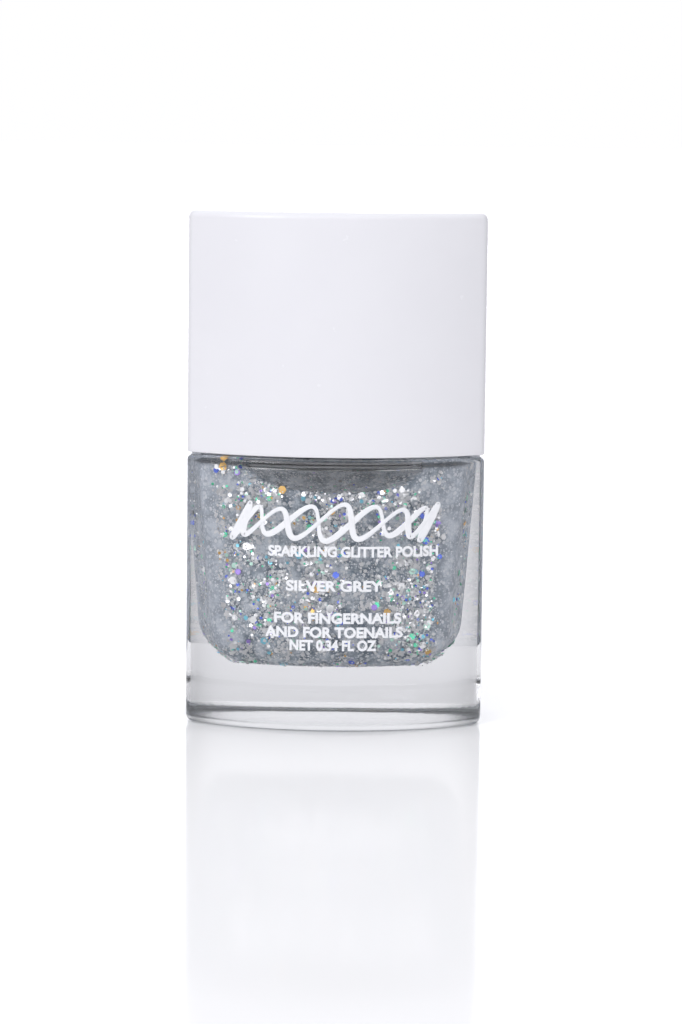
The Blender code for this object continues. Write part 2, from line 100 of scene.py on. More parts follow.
# Cavity
WALL_FRONT = 2.2 * MM
CAVITY_FLOOR = 6.7 * MM
CAVITY_TOP = 32.5 * MM
CAVITY_HALF_LOW = 13.8 * MM
CAVITY_HALF_HIGH = 16.0 * MM
CAVITY_SHIFT = -0.5 * MM  # sideways: the glass is a little thicker on the right
CAVITY_CORNER = 2.6 * MM
FLOOR_RADIUS = 5.0 * MM
CEILING_RADIUS = 0.8 * MM

# Lacquer
BUBBLE_HALF_WIDTH = 10.8 * MM
BUBBLE_FRONT = -9.6 * MM
BUBBLE_REACH = 6.7 * MM  # from there back towards the stem
BUBBLE_DEPTH = 3.1 * MM
BUBBLE_CLEARANCE = 0.3 * MM
PRESSED_ABOVE = CAVITY_TOP - 10 * MM  # above this height the core's rings are pressed down under the bubble
CLEAR_DEPTH = 0.65 * MM  # how deep one sees into the suspension
SIDE_CLEAR_DEPTH = 0.28 * MM
SIDE_LIGHT_EDGES = (8.5 * MM, 15.0 * MM)  # sideways from the middle, where the painted lighter tone at the sides starts and where it is full
# Painted light: the suspension is painted lighter and bluer towards the side walls, in place of the light
# they show
PAINTED_SIDE_LIGHT = 0.42
SIDE_LIGHT_COLOUR = (0.80, 0.85, 0.93)
SUSPENSION_TONES = ((0.40, (0.16, 0.21, 0.27)), (0.5, (0.38, 0.44, 0.51)), (0.60, (0.74, 0.79, 0.85)))
SPECKLE_SIZE = 0.38  # of a cell
SPECKLES = ((1700, (0.97, 0.98, 1.0)), (3400, (0.92, 0.95, 0.98)))  # cells to a metre, colour

# Glitter
SETTLING = (0.5, 1.0, 1.0)  # flakes settle less along the side walls
SIDE_THINNING = 0.65  # share of the flakes that is missing at the side walls
THINNING_EDGES = (3.4 * MM, 0.7 * MM)  # distances from the side wall, where it starts and where it is full
NEAR_WALL = 0.4 * MM  # how deep the large flakes lie
SHARD_STRETCH = (0.7, 1.4)
SWIRL_SEED = 5
SWIRL_LENGTHS = (11.0 * MM, 6.0 * MM, 3.4 * MM, 2.1 * MM)
SWIRLS_OF_EACH = 3
SWIRL_EDGES = (-3.2, 3.2)
FOIL_COLOURS = {
    "green_foil": (0.16, 0.90, 0.55),
    "blue_foil": (0.16, 0.26, 0.98),
    "sky_foil": (0.30, 0.80, 0.98),
    "orange_foil": (1.0, 0.62, 0.20),
    "violet_foil": (0.50, 0.34, 0.92),
    "mint_foil": (0.66, 0.97, 0.84),
}
# Shares of silver, pearl and each colour of foil
FINE_MIX = (12, 9, 1, 0.9, 0.8, 0.4, 0.6, 1)
COARSE_MIX = (3, 2, 1.6, 1, 0.7, 1.4, 0.4, 1.5)

# Brush and caps
FLANGE_BASE = liner_high.z + GAP
FLANGE_THICKNESS = 1.1 * MM
FLANGE_RADIUS = 5.9 * MM
PLUG_HEIGHT = 2.5 * MM
PLUG_RADIUS = 2.0 * MM
PLUG_BEAD_RADIUS = 2.3 * MM
PLUG_BEAD = (1.5 * MM, 1.1 * MM, 0.7 * MM)  # below the plug's top: where the bead starts, is full and ends
PLUG_TOP_RADIUS = 1.8 * MM
STEM_TOP_RADIUS = 2.4 * MM
STEM_TAPER = (7.0 * MM, 4.5 * MM)  # below the flange: where the taper starts and ends
STEM_ROOT = (0.6 * MM, 1.2 * MM)  # how far the cone under the flange goes out and down
STEM_RADIUS = 2.0 * MM
STEM_TIP_EDGE = (0.2 * MM, 0.4 * MM)  # how far the tip's edge is cut in and up
STEM_HOLE_RADIUS = 1.5 * MM
STEM_HOLE_DEPTH = 5.2 * MM
TUFT_RADIUS = 1.55 * MM
TUFT_ROOT_RADIUS = 1.1 * MM
TUFT_HELD = 2.7 * MM  # length of the filaments inside the stem
TUFT_DOME = 1.7 * MM
TUFT_DOME_POWER = 2.2
TUFT_GATHER = 0.25 * MM  # how much the free ends draw together
TUFT_UNEVENNESS = 0.25 * MM
TUFT_SEED = 21
FILAMENTS = 220
FILAMENT_RADIUS = 0.055 * MM
FILAMENT_SIDES = 6
FILAMENT_STEPS = 9
FILAMENT_TAPER = (0.8, 0.45)  # where along it the taper starts, and the share of the radius lost by the tip
LINER_INNER = 3.7 * MM
LINER_OUTER = 5.6 * MM
LINER_ROUNDING = 0.15 * MM
LINER_POINTS = 96
CAP_POINTS = 224
CAP_RIBS = 14
CAP_RIB_RADIUS = 8.0 * MM
CAP_VALLEY_RADIUS = 7.45 * MM
CAP_BORE_RADIUS = 6.95 * MM
CAP_CEILING = liner_high.z + 1.7 * MM
CAP_TOP = cap_low.z + 15.5 * MM
CAP_EDGE_RADIUS = 0.6 * MM
CAP_TOP_RADII = (6.6 * MM, 5.2 * MM, 4.4 * MM)
CAP_BOSS_RADIUS = 4.0 * MM
CAP_BOSS_ROOT = 0.3 * MM
CAP_BOSS_EDGE = 0.4 * MM
CAP_THREAD_HEIGHT = 0.35 * MM
CAP_THREAD_START = cap_low.z + 1.6 * MM
# Millimetres above the cap's mouth, and how far the ribs stand out there
CAP_RIB_HEIGHTS = ((0.25, 0.6), (0.5, 0.95), (0.7, 1.0), (5.0, 1.0), (10.0, 1.0), (14.5, 1.0))
# Foam tones, darker in the hollows of its bubbles: painted shade
FOAM_PIT_SHADE_TONES = ((0.1, (0.66, 0.66, 0.62)), (0.5, (0.88, 0.88, 0.85)))
OVERCAP_TONES = ((0.3, (0.790, 0.786, 0.815)), (0.7, (0.806, 0.803, 0.830)))
OVERCAP_TOP_WALL = 1.8 * MM
OVERCAP_WALL = 1.6 * MM
OVERCAP_EDGE = 0.9 * MM
OVERCAP_MOUTH_EDGE = 0.2 * MM
OVERCAP_INNER_EDGE = 0.5 * MM

# Front print
INK_THICKNESS = 0.05 * MM
INK_SINK = 0.4  # share of the ink's thickness that is inside the glass
INK_TONES = ((0.3, (0.84, 0.85, 0.87)), (0.7, (0.89, 0.90, 0.92)))
FLOURISH_LOOPS = 9
FLOURISH_MIDDLE = 25.75 * MM
FLOURISH_HALF_LENGTH = 11.6 * MM
FLOURISH_SWELL = (1.9 * MM, 0.35 * MM)  # half the height, and how much it changes along the braid
FLOURISH_SLANT = 0.5
FLOURISH_STROKE = (0.31 * MM, 0.08 * MM)  # half the stroke's breadth, and how much it changes in a loop
FLOURISH_SECTION = ((1, -INK_SINK), (1, 0.7), (0.75, 1), (-0.75, 1), (-1, 0.7), (-1, -INK_SINK))
LETTER_HEIGHT = 1.36 * MM
LETTER_BOLDNESS = 0.042
# Each line is (words, left end, right end, middle height)
TEXT_LINES = (
    ("SPARKLING GLITTER POLISH", -8.1 * MM, 12.6 * MM, 22.2 * MM),
    ("SILVER GREY", -5.9 * MM, 5.9 * MM, 18.0 * MM),
    ("FOR FINGERNAILS", -7.3 * MM, 8.2 * MM, 14.05 * MM),
    ("AND FOR TOENAILS", -8.4 * MM, 8.4 * MM, 12.3 * MM),
    ("NET 0.34 FL OZ", -5.4 * MM, 5.2 * MM, 10.7 * MM),
)

SMALLEST_CORNER = 0.3 * MM

# Floor and camera
AIR_FILM = 0.05 * MM  # between the foot and the floor
FLOOR_REACH = 6.0
# Painted shadow: the floor is lighter in front of the bottle and greyer behind it
FLOOR_SHADOW_TONES = ((0.0, (0.83, 0.83, 0.83)), (1.0, (0.60, 0.60, 0.613)))
FLOOR_SHADOW_EDGES = (-40 * MM, 50 * MM)  # from the front to the back, where the painted shadow behind the bottle is full
PAINTED_FLOOR_GLOW = 0.12  # painted light: the floor glows evenly, also in the shade under the bottle, in place of light that spreads inside the white acrylic
CAMERA_LENS = 119.4
CAMERA_PLACE = (0.7 * MM, -DEPTH / 2 - 408.3 * MM, 76.0 * MM)
CAMERA_PITCH = math.radians(90 - 6.83)
CAMERA_TURN = math.radians(0.65)

# Studio: brightness by direction. A light is (direction, cosine at its edge, cosine where full, strength)
ROOM_LIGHT = 0.34
ROOM_COLOUR = (1.0, 1.0, 1.04)
BACKDROP = ((0, 1, 0.12), 0.70, 0.93)
BACKDROP_LIGHT = 0.52
BACKDROP_IN_REFLECTIONS = 2.5
STUDIO_LIGHTS = (
    ((0, 0, 1), 0.45, 0.85, 0.74),
    ((-0.15, -1, 0.50), 0.74, 0.93, 0.84),
    ((-0.85, -0.6, 0.15), 0.78, 0.95, 0.22),
    ((0.85, -0.6, 0.15), 0.78, 0.95, 0.34),
    ((-0.75, -0.8, 0.75), 0.965, 0.99, 4.0),
    ((1, 0.35, 0.1), 0.75, 0.93, -0.09),
)


# Rings: arrays of points, anticlockwise from the middle of the front


def outline(half_width, half_depth, bow_radius, corner_radius):
    """A rectangle whose front and back bow outwards on an arc, with rounded corners."""
    bow_centre = bow_radius - half_depth
    corner_x = half_width - corner_radius
    corner_y = bow_centre - math.sqrt((bow_radius - corner_radius) ** 2 - corner_x**2)
    tangent = math.atan2(corner_x, bow_centre - corner_y)
    quarter = []
    for step in range(BOW_STEPS):
        angle = tangent * step / BOW_STEPS
        quarter.append((bow_radius * math.sin(angle), bow_centre - bow_radius * math.cos(angle)))
    for step in range(CORNER_STEPS):
        angle = tangent + (math.pi / 2 - tangent) * step / CORNER_STEPS
        across, back = math.sin(angle), -math.cos(angle)
        quarter.append((corner_x + corner_radius * across, corner_y + corner_radius * back))
    for step in range(SIDE_STEPS):
        quarter.append((half_width, corner_y * (1 - step / SIDE_STEPS)))
    right = quarter + [(half_width, 0.0)] + [(x, -y) for x, y in reversed(quarter[1:])]
    return np.array(right + [(-x, -y) for x, y in right])


def at_height(points, height):
    return np.column_stack([points, np.full(len(points), height)])


def body_ring(inset, height):
    """The outside of the glass or the overcap, pulled in all round."""
    corner = max(CORNER_RADIUS - inset, SMALLEST_CORNER)
    points = outline(WIDTH / 2 - inset, DEPTH / 2 - inset, BOW_RADIUS - inset, corner)
    return at_height(points, height)


def cavity_half_width(height):
    share = (height - CAVITY_FLOOR) / (CAVITY_TOP - CAVITY_FLOOR)
    return CAVITY_HALF_LOW + (CAVITY_HALF_HIGH - CAVITY_HALF_LOW) * share


def cavity_ring(inset, height):
    """The cavity's wall, pulled in all round."""
    corner = max(CAVITY_CORNER - inset, SMALLEST_CORNER)
    half_depth = DEPTH / 2 - WALL_FRONT - inset
    points = outline(cavity_half_width(height) - inset, half_depth, BOW_RADIUS - WALL_FRONT - inset, corner)
    return at_height(points + (CAVITY_SHIFT, 0.0), height)


def ring_angles(count):
    return -math.pi / 2 + 2 * math.pi * np.arange(count) / count


def circle_ring(radius, height, count=RING_POINTS):
    """A circle. radius may also be an array, with one radius for each point."""
    angles = ring_angles(count)
    unit = np.column_stack([np.cos(angles), np.sin(angles)])
    return at_height(unit * np.reshape(radius, (-1, 1)), height)


def mixed(ring_a, ring_b, share):
    return ring_a + (ring_b - ring_a) * share


def quarter_round(steps):
    """Pairs that go from (0, 1) to (1, 0) on a quarter circle."""
    angles = np.linspace(0, math.pi / 2, steps + 1)
    return list(zip(np.sin(angles), np.cos(angles)))


def smooth_share(low, high, value):
    """0 below low and 1 above high, with a smooth rise. high may be the smaller."""
    share = np.clip((value - low) / (high - low), 0, 1)
    return share * share * (3 - 2 * share)


def thread_ridge(height, start, ridge_height, count=RING_POINTS, crest_half=0.3 * MM, base_half=0.75 * MM):
    """How far a thread stands off its wall at each point of a ring at this height."""
    angles = ring_angles(count)
    ridge = np.zeros(count)
    total = 2 * math.pi * THREAD_TURNS
    for turn in range(math.ceil(THREAD_TURNS) + 1):
        along = np.mod(angles, 2 * math.pi) + 2 * math.pi * turn
        offset = np.abs(height - start - THREAD_PITCH * along / (2 * math.pi))
        strength = np.clip(along / THREAD_FADE, 0, 1) * np.clip((total - along) / THREAD_FADE, 0, 1)
        ridge = np.maximum(ridge, ridge_height * strength * smooth_share(base_half, crest_half, offset))
    return ridge


# Meshes


def add_mesh(name, vertices, faces, material, smooth=True):
    mesh = bpy.data.meshes.new(name)
    mesh.from_pydata([tuple(v) for v in vertices], [], faces)
    mesh.validate()
    if smooth:
        mesh.shade_smooth()
    piece = bpy.data.objects.new(name, mesh)
    bpy.context.scene.collection.objects.link(piece)
    for one in material if isinstance(material, (list, tuple)) else [material]:
        mesh.materials.append(one)
    return piece


def surface(name, rings, material, start=None, end=None, loop=False):
    """One closed surface through rings. It closes in the points start and end, or, as a loop, on itself."""
    count = len(rings[0])
    vertices = np.concatenate(rings)
    faces = []
    pairs = [(k, k + 1) for k in range(len(rings) - 1)]
    if loop:
        pairs.append((len(rings) - 1, 0))
    for a, b in pairs:
        for i in range(count):
            j = (i + 1) % count
            faces.append((a * count + i, a * count + j, b * count + j, b * count + i))
    poles = []
    if not loop:
        last = (len(rings) - 1) * count
        for pole, (ring_start, flip) in ((start, (0, True)), (end, (last, False))):
            centre = len(vertices) + len(poles)
            poles.append(pole)
            for i in range(count):
                j = (i + 1) % count
                edge = (ring_start + i, ring_start + j)
                faces.append((edge[1], edge[0], centre) if flip else (*edge, centre))
    if poles:
        vertices = np.concatenate([vertices, np.array(poles)])
    piece = add_mesh(name, vertices, faces, material)
    even_normals(piece)
    return piece


def even_normals(piece):
    """Keeps flat faces flat beside their rounded edges."""
    weighted = piece.modifiers.new("flat_faces", "WEIGHTED_NORMAL")
    weighted.mode = "FACE_AREA"
    weighted.keep_sharp = True


# Materials


def new_material(name):
    """A material with its Principled shader, and the node tree to add to."""
    material = bpy.data.materials.new(name)
    material.use_nodes = True
    return material, material.node_tree, material.node_tree.nodes["Principled BSDF"]


def feed(tree, node, values):
    """Gives a node's inputs their values: numbers, colours or the outputs of other nodes."""
    for name, value in values.items():
        if isinstance(value, bpy.types.NodeSocket):
            tree.links.new(value, node.inputs[name])
        else:
            node.inputs[name].default_value = value


def object_coordinates(tree):
    return tree.nodes.new("ShaderNodeTexCoord").outputs["Object"]


def coordinate(tree, axis):
    """One of the object coordinates."""
    place = tree.nodes.new("ShaderNodeSeparateXYZ")
    feed(tree, place, {"Vector": object_coordinates(tree)})
    return place.outputs[axis]


def noise(tree, scale, detail=3.0, roughness=0.5):
    """A noise texture in object space. scale is in features to a metre."""
    node = tree.nodes.new("ShaderNodeTexNoise")
    space = object_coordinates(tree)
    feed(tree, node, {"Vector": space, "Scale": scale, "Detail": detail, "Roughness": roughness})
    return node.outputs["Fac"]


def cells(tree, scale):
    """The outputs of a Voronoi texture in object space."""
    node = tree.nodes.new("ShaderNodeTexVoronoi")
    feed(tree, node, {"Vector": object_coordinates(tree), "Scale": scale})
    return node.outputs


def combined(tree, operation, first, second):
    """The result of a Math node on two sockets or numbers."""
    node = tree.nodes.new("ShaderNodeMath")
    node.operation = operation
    feed(tree, node, {0: first, 1: second})
    return node.outputs["Value"]


def ramp(tree, factor, stops):
    """A colour ramp. stops are (position, colour)."""
    node = tree.nodes.new("ShaderNodeValToRGB")
    elements = node.color_ramp.elements
    while len(elements) < len(stops):
        elements.new(0.5)
    for element, (position, colour) in zip(elements, stops):
        element.position = position
        element.color = (*colour, 1.0)
    feed(tree, node, {"Fac": factor})
    return node.outputs["Color"]


def blended(tree, share, below, above):
    """One colour over another. share and below are sockets, above is a colour."""
    node = tree.nodes.new("ShaderNodeMix")
    node.data_type = "RGBA"
    feed(tree, node, {"Factor": share, "A": below, "B": (*above, 1.0)})
    return node.outputs["Result"]


def spread(tree, value, low, high, edges=(0.0, 1.0), smooth=False):
    """Maps a value between two edges to a range from low to high."""
    node = tree.nodes.new("ShaderNodeMapRange")
    node.interpolation_type = "SMOOTHSTEP" if smooth else "LINEAR"
    feed(tree, node, {"Value": value, "From Min": edges[0], "From Max": edges[1]})
    feed(tree, node, {"To Min": low, "To Max": high})
    return node.outputs["Result"]


def bump(tree, shader, height, strength, distance):
    node = tree.nodes.new("ShaderNodeBump")
    feed(tree, node, {"Height": height, "Strength": strength, "Distance": distance})
    feed(tree, shader, {"Normal": node.outputs["Normal"]})


def clear_glass(name):
    """A material with its glass shader, and the node tree to add to."""
    material, tree, shader = new_material(name)
    feed(tree, shader, {"Base Color": (*GLASS_COLOUR, 1.0), "Transmission Weight": 1.0})
    feed(tree, shader, {"Roughness": 0.0, "IOR": GLASS_IOR})
    return material, tree, shader


def glass_material():
    """Clear glass, faintly wavy all over, and grainy and a little frosted at the heel."""
    material, tree, shader = clear_glass("clear_glass")
    foot = spread(tree, coordinate(tree, "Z"), FOOT_GRAIN, 0.0, FOOT_GRAIN_EDGES)
    feed(tree, shader, {"Roughness": combined(tree, "MULTIPLY", foot, FOOT_FROST)})
    grain = combined(tree, "MULTIPLY", noise(tree, 1300, detail=2.0), foot)
    bump(tree, shader, combined(tree, "ADD", noise(tree, 160, detail=1.0), grain), 0.06, 0.3 * MM)
    return material


def wetted_glass_material():
    """The cavity's wall. Liquid and glass refract light alike, so the wall shows only at the air bubble."""
    material, tree, shader = clear_glass("wetted_glass")
    behind = combined(tree, "SUBTRACT", coordinate(tree, "Y"), BUBBLE_FRONT)
    offsets = (
        (coordinate(tree, "X"), BUBBLE_HALF_WIDTH),
        (combined(tree, "MAXIMUM", behind, 0.0), BUBBLE_REACH),
        (combined(tree, "SUBTRACT", CAVITY_TOP, coordinate(tree, "Z")), BUBBLE_DEPTH),
    )
    distance = 0.0
    for offset, reach in offsets:
        share = combined(tree, "DIVIDE", offset, reach)
        distance = combined(tree, "ADD", distance, combined(tree, "MULTIPLY", share, share))
    feed(tree, shader, {"Alpha": combined(tree, "LESS_THAN", distance, 1.0)})
    return material


def suspension_material():
    """The depth of the suspension, with no single flakes: cool grey speckle, painted lighter towards the
    sides.
    """
    material, tree, shader = new_material("glitter_depth")
    colour = ramp(tree, noise(tree, 420, detail=6.0, roughness=0.7), SUSPENSION_TONES)
    for scale, tint in SPECKLES:
        speckle = cells(tree, scale)
        pick = tree.nodes.new("ShaderNodeSeparateColor")
        feed(tree, pick, {"Color": speckle["Color"]})
        dot = combined(tree, "LESS_THAN", speckle["Distance"], SPECKLE_SIZE)
        colour = blended(tree, combined(tree, "MULTIPLY", dot, pick.outputs["Red"]), colour, tint)
    # painted light: lighter and bluer towards the side walls
    sideways = combined(tree, "ABSOLUTE", coordinate(tree, "X"), 0.0)
    side_light = spread(tree, sideways, 0.0, PAINTED_SIDE_LIGHT, SIDE_LIGHT_EDGES, smooth=True)
    feed(tree, shader, {"Base Color": blended(tree, side_light, colour, SIDE_LIGHT_COLOUR), "Roughness": 0.6})
    return material


def foil_material(name, colour, roughness, metallic=1.0):
    """Metallised film, which glitter is cut from."""
    material, tree, shader = new_material(name)
    feed(tree, shader, {"Base Color": (*colour, 1.0), "Metallic": metallic, "Roughness": roughness})
    return material


def overcap_material():
    """White glossy plastic."""
    material, tree, shader = new_material("white_gloss")
    tone = ramp(tree, noise(tree, 90, detail=2.0), OVERCAP_TONES)
    gloss = spread(tree, noise(tree, 700, detail=4.0), 0.20, 0.30)
    feed(tree, shader, {"Base Color": tone, "Roughness": gloss, "IOR": 1.5})
    bump(tree, shader, noise(tree, 260, detail=2.0), 0.04, 0.1 * MM)
    return material


def moulded_material(name, light, dark, roughness):
    """Polypropylene with faint flow marks."""
    material, tree, shader = new_material(name)
    tone = ramp(tree, noise(tree, 240, detail=4.0), [(0.3, dark), (0.7, light)])
    spots = spread(tree, noise(tree, 1500, detail=3.0), roughness - 0.07, roughness + 0.07)
    feed(tree, shader, {"Base Color": tone, "Roughness": spots, "Subsurface Weight": 0.15})
    feed(tree, shader, {"Subsurface Radius": (0.8, 0.8, 0.8), "Subsurface Scale": 0.6 * MM})
    bump(tree, shader, noise(tree, 2200, detail=2.0), 0.12, 0.05 * MM)
    return material


def ink_material():
    material, tree, shader = new_material("white_ink")
    tone = ramp(tree, noise(tree, 900, detail=3.0), INK_TONES)
    dryness = spread(tree, noise(tree, 2500, detail=3.0), 0.4, 0.55)
    feed(tree, shader, {"Base Color": tone, "Roughness": dryness})
    bump(tree, shader, noise(tree, 6000, detail=2.0), 0.2, 0.01 * MM)
    return material


def foam_material():
    """Closed-cell foam: fine open bubbles on off-white, with painted shade in each bubble's hollow."""
    material, tree, shader = new_material("liner_foam")
    distance = cells(tree, 5200)["Distance"]
    # painted shade: darker where the bump sinks into a bubble
    feed(tree, shader, {"Base Color": ramp(tree, distance, FOAM_PIT_SHADE_TONES), "Roughness": 0.85})
    bump(tree, shader, distance, 0.5, 0.05 * MM)
    return material


def steel_material():
    material, tree, shader = new_material("polished_steel")
    scratches = spread(tree, noise(tree, 3000, detail=5.0), 0.12, 0.28)
    feed(tree, shader, {"Base Color": (0.62, 0.62, 0.60, 1.0), "Metallic": 1.0, "Roughness": scratches})
    return material


def nylon_material():
    material, tree, shader = new_material("black_nylon")
    feed(tree, shader, {"Base Color": (0.035, 0.035, 0.04, 1.0), "Roughness": 0.32})
    return material


def floor_material():
    """Polished white acrylic, with a painted shadow that makes it greyer behind the bottle, and a faint
    painted glow.
    """
    material, tree, shader = new_material("white_acrylic")
    # painted shadow: greyer behind the bottle
    back = spread(tree, coordinate(tree, "Y"), 0.0, 1.0, FLOOR_SHADOW_EDGES, smooth=True)
    polish = spread(tree, noise(tree, 40, detail=2.0), 0.08, 0.12)
    feed(tree, shader, {"Base Color": ramp(tree, back, FLOOR_SHADOW_TONES), "Roughness": polish, "IOR": 1.12})
    # painted light: a faint glow of the floor itself
    feed(tree, shader, {"Emission Color": (1.0, 1.0, 1.0, 1.0), "Emission Strength": PAINTED_FLOOR_GLOW})
    return material


# Pieces


def cavity_wall_rings(inset, steps=8):
    """Rings up the inside of the bottle, from the floor to the ceiling, that far inside the glass."""
    floor_radius = FLOOR_RADIUS - inset
    rings = []
    for out, up in reversed(quarter_round(steps)):
        height = CAVITY_FLOOR + inset + floor_radius * (1 - out)
        rings.append(cavity_ring(inset + floor_radius * (1 - up), height))
    ceiling_radius = max(CEILING_RADIUS - inset, SMALLEST_CORNER)
    low = CAVITY_FLOOR + inset + floor_radius
    high = CAVITY_TOP - inset - ceiling_radius
    for share in (0.02, 0.25, 0.5, 0.75, 0.98):
        rings.append(cavity_ring(inset, low + (high - low) * share))
    for out, up in quarter_round(steps - 3):
        rings.append(cavity_ring(inset + ceiling_radius * (1 - up), high + ceiling_radius * out))
    return rings


def make_glass(material, wetted):
    """The bottle in one surface, with neck and thread. The cavity's wall has a material of its own."""
    foot = body_ring(HEEL_RADIUS, 0.0)
    rings = []
    for share in np.linspace(0.08, 1.0, 14)[:-1]:
        ring = foot * (share, share, 1.0)
        ring[:, 2] = PUNT_DEPTH * max(0.0, 1 - (share / PUNT_REACH) ** 2) ** PUNT_POWER
        rings.append(ring)
    for out, up in quarter_round(6):
        rings.append(body_ring(HEEL_RADIUS * (1 - out), HEEL_RADIUS * (1 - up)))
    wall_top = SHOULDER - SHOULDER_EDGE_RADIUS
    for share in (0.02, 0.5, 0.98):
        rings.append(body_ring(0.0, HEEL_RADIUS + (wall_top - HEEL_RADIUS) * share))
    for out, up in quarter_round(5):
        height = wall_top + SHOULDER_EDGE_RADIUS * out
        rings.append(body_ring(SHOULDER_EDGE_RADIUS * (1 - up), height))
    root = NECK_RADIUS + NECK_ROOT_RADIUS
    shoulder = body_ring(SHOULDER_EDGE_RADIUS, SHOULDER)
    for share in (0.03, 0.3, 0.6, 0.97):
        rings.append(mixed(shoulder, circle_ring(root, SHOULDER), share))
    for out, up in quarter_round(5):
        rings.append(circle_ring(root - NECK_ROOT_RADIUS * out, SHOULDER + NECK_ROOT_RADIUS * (1 - up)))
    neck_low = SHOULDER + NECK_ROOT_RADIUS + 0.1 * MM
    neck_high = RIM - RIM_ROUNDING
    for height in np.linspace(neck_low, neck_high, 80):
        ridge = thread_ridge(height, THREAD_START, THREAD_HEIGHT)
        rings.append(circle_ring(NECK_RADIUS + ridge, height))
    for out, up in quarter_round(5):
        rings.append(circle_ring(NECK_RADIUS - RIM_ROUNDING * (1 - up), neck_high + RIM_ROUNDING * out))
    rings.append(circle_ring(BORE_RADIUS + BORE_ROUNDING * 1.2, RIM))
    for out, up in quarter_round(4):
        rings.append(circle_ring(BORE_RADIUS + BORE_ROUNDING * (1 - out), RIM - BORE_ROUNDING * (1 - up)))
    for height in BORE_RING_HEIGHTS:
        rings.append(circle_ring(BORE_RADIUS, height))
    wall = cavity_wall_rings(0.0)
    for out, up in quarter_round(7):
        height = THROAT_TOP - (THROAT_TOP - CAVITY_TOP) * out
        rings.append(circle_ring(BORE_RADIUS + (THROAT_RADIUS - BORE_RADIUS) * (1 - up), height))
    throat_edge = rings[-1]
    first_wetted = (len(rings) - 1) * RING_POINTS
    rings += [mixed(throat_edge, wall[-1], share) for share in (0.2, 0.5, 0.8, 0.97)]
    rings += reversed(wall)
    for share in (0.9, 0.6, 0.3):
        rings.append(wall[0] * (share, share, 1.0))
    last_wetted = (len(rings) - 1) * RING_POINTS
    ends = {"start": (0, 0, PUNT_DEPTH), "end": (0, 0, CAVITY_FLOOR)}
    glass = surface("clear_glass_bottle", rings, [material, wetted], **ends)
    slots = np.zeros(len(glass.data.polygons), np.int32)
    slots[first_wetted:last_wetted] = 1
    slots[-RING_POINTS:] = 1
    glass.data.polygons.foreach_set("material_index", slots)
    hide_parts("glass_bottle")
    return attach(glass, "bottle")


def bubble_share(x, y, inset):
    """How deep the air bubble is, from 1 in its middle to 0 at its rim. It lies against the front wall."""
    behind = np.maximum(y - BUBBLE_FRONT, 0.0)
    across = (x / (BUBBLE_HALF_WIDTH + inset)) ** 2 + (behind / (BUBBLE_REACH + inset)) ** 2
    return np.sqrt(np.maximum(1 - across, 0.0))


def liquid_top(x, y, inset):
    """The height of the liquid's top, pulled in by inset: flat under the ceiling, sunk under the bubble."""
    bowl = CAVITY_TOP - (BUBBLE_DEPTH + inset) * bubble_share(x, y, inset)
    return np.minimum(bowl, CAVITY_TOP - inset)


def under_top(ring, inset, top_inset):
    """Presses the upper part of a ring down, so that it stays under the liquid's top."""
    low = PRESSED_ABOVE
    room = (liquid_top(ring[:, 0], ring[:, 1], top_inset) - low) / (CAVITY_TOP - inset - low)
    pressed = ring.copy()
    pressed[:, 2] = np.minimum(ring[:, 2], low) + np.maximum(ring[:, 2] - low, 0.0) * room
    return pressed


def liquid_rings(inset, top_inset):
    """Rings from the floor's middle, up the walls and over the top to its middle, in under the bubble."""
    wall = cavity_wall_rings(inset)
    rings = [wall[0] * (share, share, 1.0) for share in (0.3, 0.6, 0.9)]
    rings += [under_top(ring, inset, top_inset) for ring in wall]
    for share in np.linspace(0.98, 0.04, 26):
        rings.append(under_top(wall[-1] * (share, share, 1.0), inset, top_inset))
    return rings


def side_nearness(points):
    """From 0 to 1 as points come close to the cavity's side walls."""
    gap = cavity_half_width(points[:, 2]) - np.abs(points[:, 0] - CAVITY_SHIFT)
    return smooth_share(*THINNING_EDGES, gap)


def make_suspension(material):
    """The liquid, as deep as one can see into it: less deep at the side walls, where its colour is painted
    lighter.
    """
    rings = liquid_rings(CLEAR_DEPTH, BUBBLE_CLEARANCE)
    for ring in rings:
        ring[:, 0] += np.sign(ring[:, 0]) * (CLEAR_DEPTH - SIDE_CLEAR_DEPTH) * side_nearness(ring)
    bottom = (0, 0, CAVITY_FLOOR + CLEAR_DEPTH)
    top = (0, 0, float(liquid_top(0.0, 0.0, BUBBLE_CLEARANCE)))
    piece = surface("glitter_depth", rings, material, start=bottom, end=top)
    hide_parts("lacquer_fill")
    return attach(piece, "bottle")


# Glitter


def rounded_inside(depth_a, depth_b, radius):
    """Depths inside two walls that meet in a rounded corner, from the depths inside each."""
    corner = radius - np.hypot(np.maximum(radius - depth_a, 0), np.maximum(radius - depth_b, 0))
    return np.minimum.reduce([depth_a, depth_b, corner])


def depth_inside(points):
    """How far each point is inside the cavity's wall, floor, ceiling and bubble; negative outside."""
    x, y, z = points.T
    bow_radius = BOW_RADIUS - WALL_FRONT
    bow_centre = bow_radius - (DEPTH / 2 - WALL_FRONT)
    bow = bow_radius - np.hypot(x - CAVITY_SHIFT, np.abs(y) + bow_centre)
    side = cavity_half_width(z) - np.abs(x - CAVITY_SHIFT)
    walls = rounded_inside(bow, side, CAVITY_CORNER)
    ceiling = CAVITY_TOP - z
    heel = rounded_inside(walls, z - CAVITY_FLOOR, FLOOR_RADIUS)
    brow = rounded_inside(walls, ceiling, CEILING_RADIUS)
    flat = (x / BUBBLE_HALF_WIDTH) ** 2 + (np.maximum(y - BUBBLE_FRONT, 0.0) / BUBBLE_REACH) ** 2
    bubble = (np.sqrt(flat + (ceiling / BUBBLE_DEPTH) ** 2) - 1) * BUBBLE_DEPTH
    return np.minimum.reduce([heel, brow, bubble])


